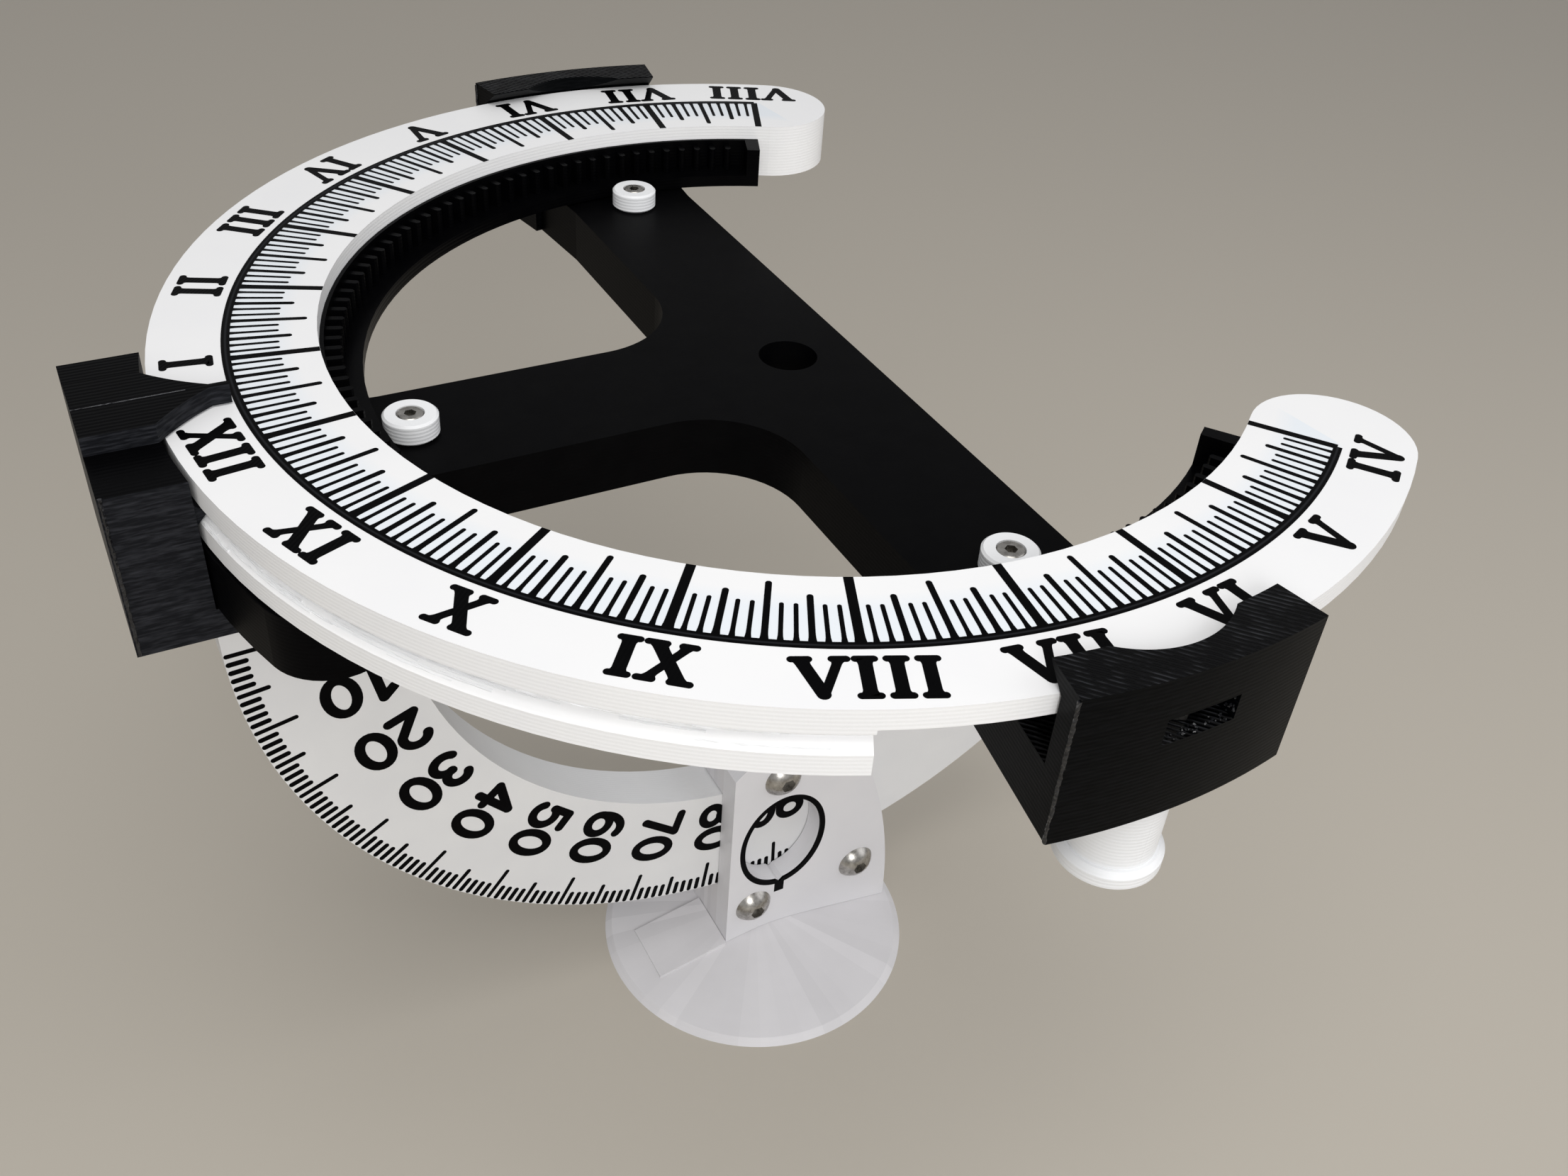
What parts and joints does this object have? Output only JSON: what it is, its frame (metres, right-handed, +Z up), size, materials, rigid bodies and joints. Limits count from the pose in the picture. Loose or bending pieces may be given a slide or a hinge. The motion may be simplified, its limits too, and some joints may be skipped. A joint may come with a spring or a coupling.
{
  "type": "heliochronometer",
  "caption": "Equatorial heliochronometer head: a toothed hour ring turns in guide blocks on a T-shaped plate, tilted for latitude by a bow sliding through a pillar.",
  "frame": {"origin": "centre of the round foot's underside", "axes": "+Z up along the dial axis at rest, +X to the noon arm, +Y to the morning six o'clock arm"},
  "size_m": [0.1652, 0.1882, 0.1424],
  "materials": {
    "white_print": "satin white printed plastic",
    "grey_print": "pale grey-white printed plastic",
    "black_print": "satin black printed plastic",
    "steel": "stainless fasteners"
  },
  "bodies": {
    "stand": {"base_stand": "grey_print", "window_cover": "grey_print", "window_frame": "black_print", "cover_screws": "steel", "cover_nuts": "steel"},
    "head": {"latitude_bow": "white_print", "bow_screws": "steel", "t_plate": "black_print", "noon_block": "black_print", "morning_block": "black_print", "evening_block": "black_print", "block_screws": "steel", "roller_screws": "steel", "clamp_nut": "steel"},
    "hour_ring": {"dial_ring": "white_print", "rack_ring": "black_print"},
    "roller_at_noon": {"roller_noon": "white_print"},
    "roller_at_morning": {"roller_morning": "white_print"},
    "roller_at_evening": {"roller_evening": "white_print"},
    "clamp": {"clamp_screw": "steel", "clamp_knob": "white_print"}
  },
  "joints": [
    {"name": "latitude", "type": "hinge", "parent": "stand", "child": "head", "pos_m": [0, -0.0034, 0.1057], "axis": [0, 1, 0], "range_deg": [-5, 85]},
    {"name": "ring_turn", "type": "hinge", "parent": "head", "child": "hour_ring", "pos_m": [0, -0.0034, 0.1394], "axis": [0, 0, 1], "range_deg": [-25.7, 11.9]},
    {"name": "roller_noon_spin", "type": "hinge", "parent": "head", "child": "roller_at_noon", "pos_m": [0.0585, -0.0034, 0.1314], "axis": [0, 0, 1], "continuous": true},
    {"name": "roller_morning_spin", "type": "hinge", "parent": "head", "child": "roller_at_morning", "pos_m": [0, 0.0551, 0.1314], "axis": [0, 0, 1], "continuous": true},
    {"name": "roller_evening_spin", "type": "hinge", "parent": "head", "child": "roller_at_evening", "pos_m": [0, -0.0619, 0.1314], "axis": [0, 0, 1], "continuous": true},
    {"name": "clamp_turn", "type": "hinge", "parent": "head", "child": "clamp", "pos_m": [0, 0.0828, 0.1194], "axis": [0, 0, 1], "range_deg": [-360, 0]}
  ],
  "couplings": [
    {"joint": "roller_noon_spin", "follows": "ring_turn", "ratio": 16.474},
    {"joint": "roller_morning_spin", "follows": "ring_turn", "ratio": 16.474},
    {"joint": "roller_evening_spin", "follows": "ring_turn", "ratio": 16.474}
  ]
}
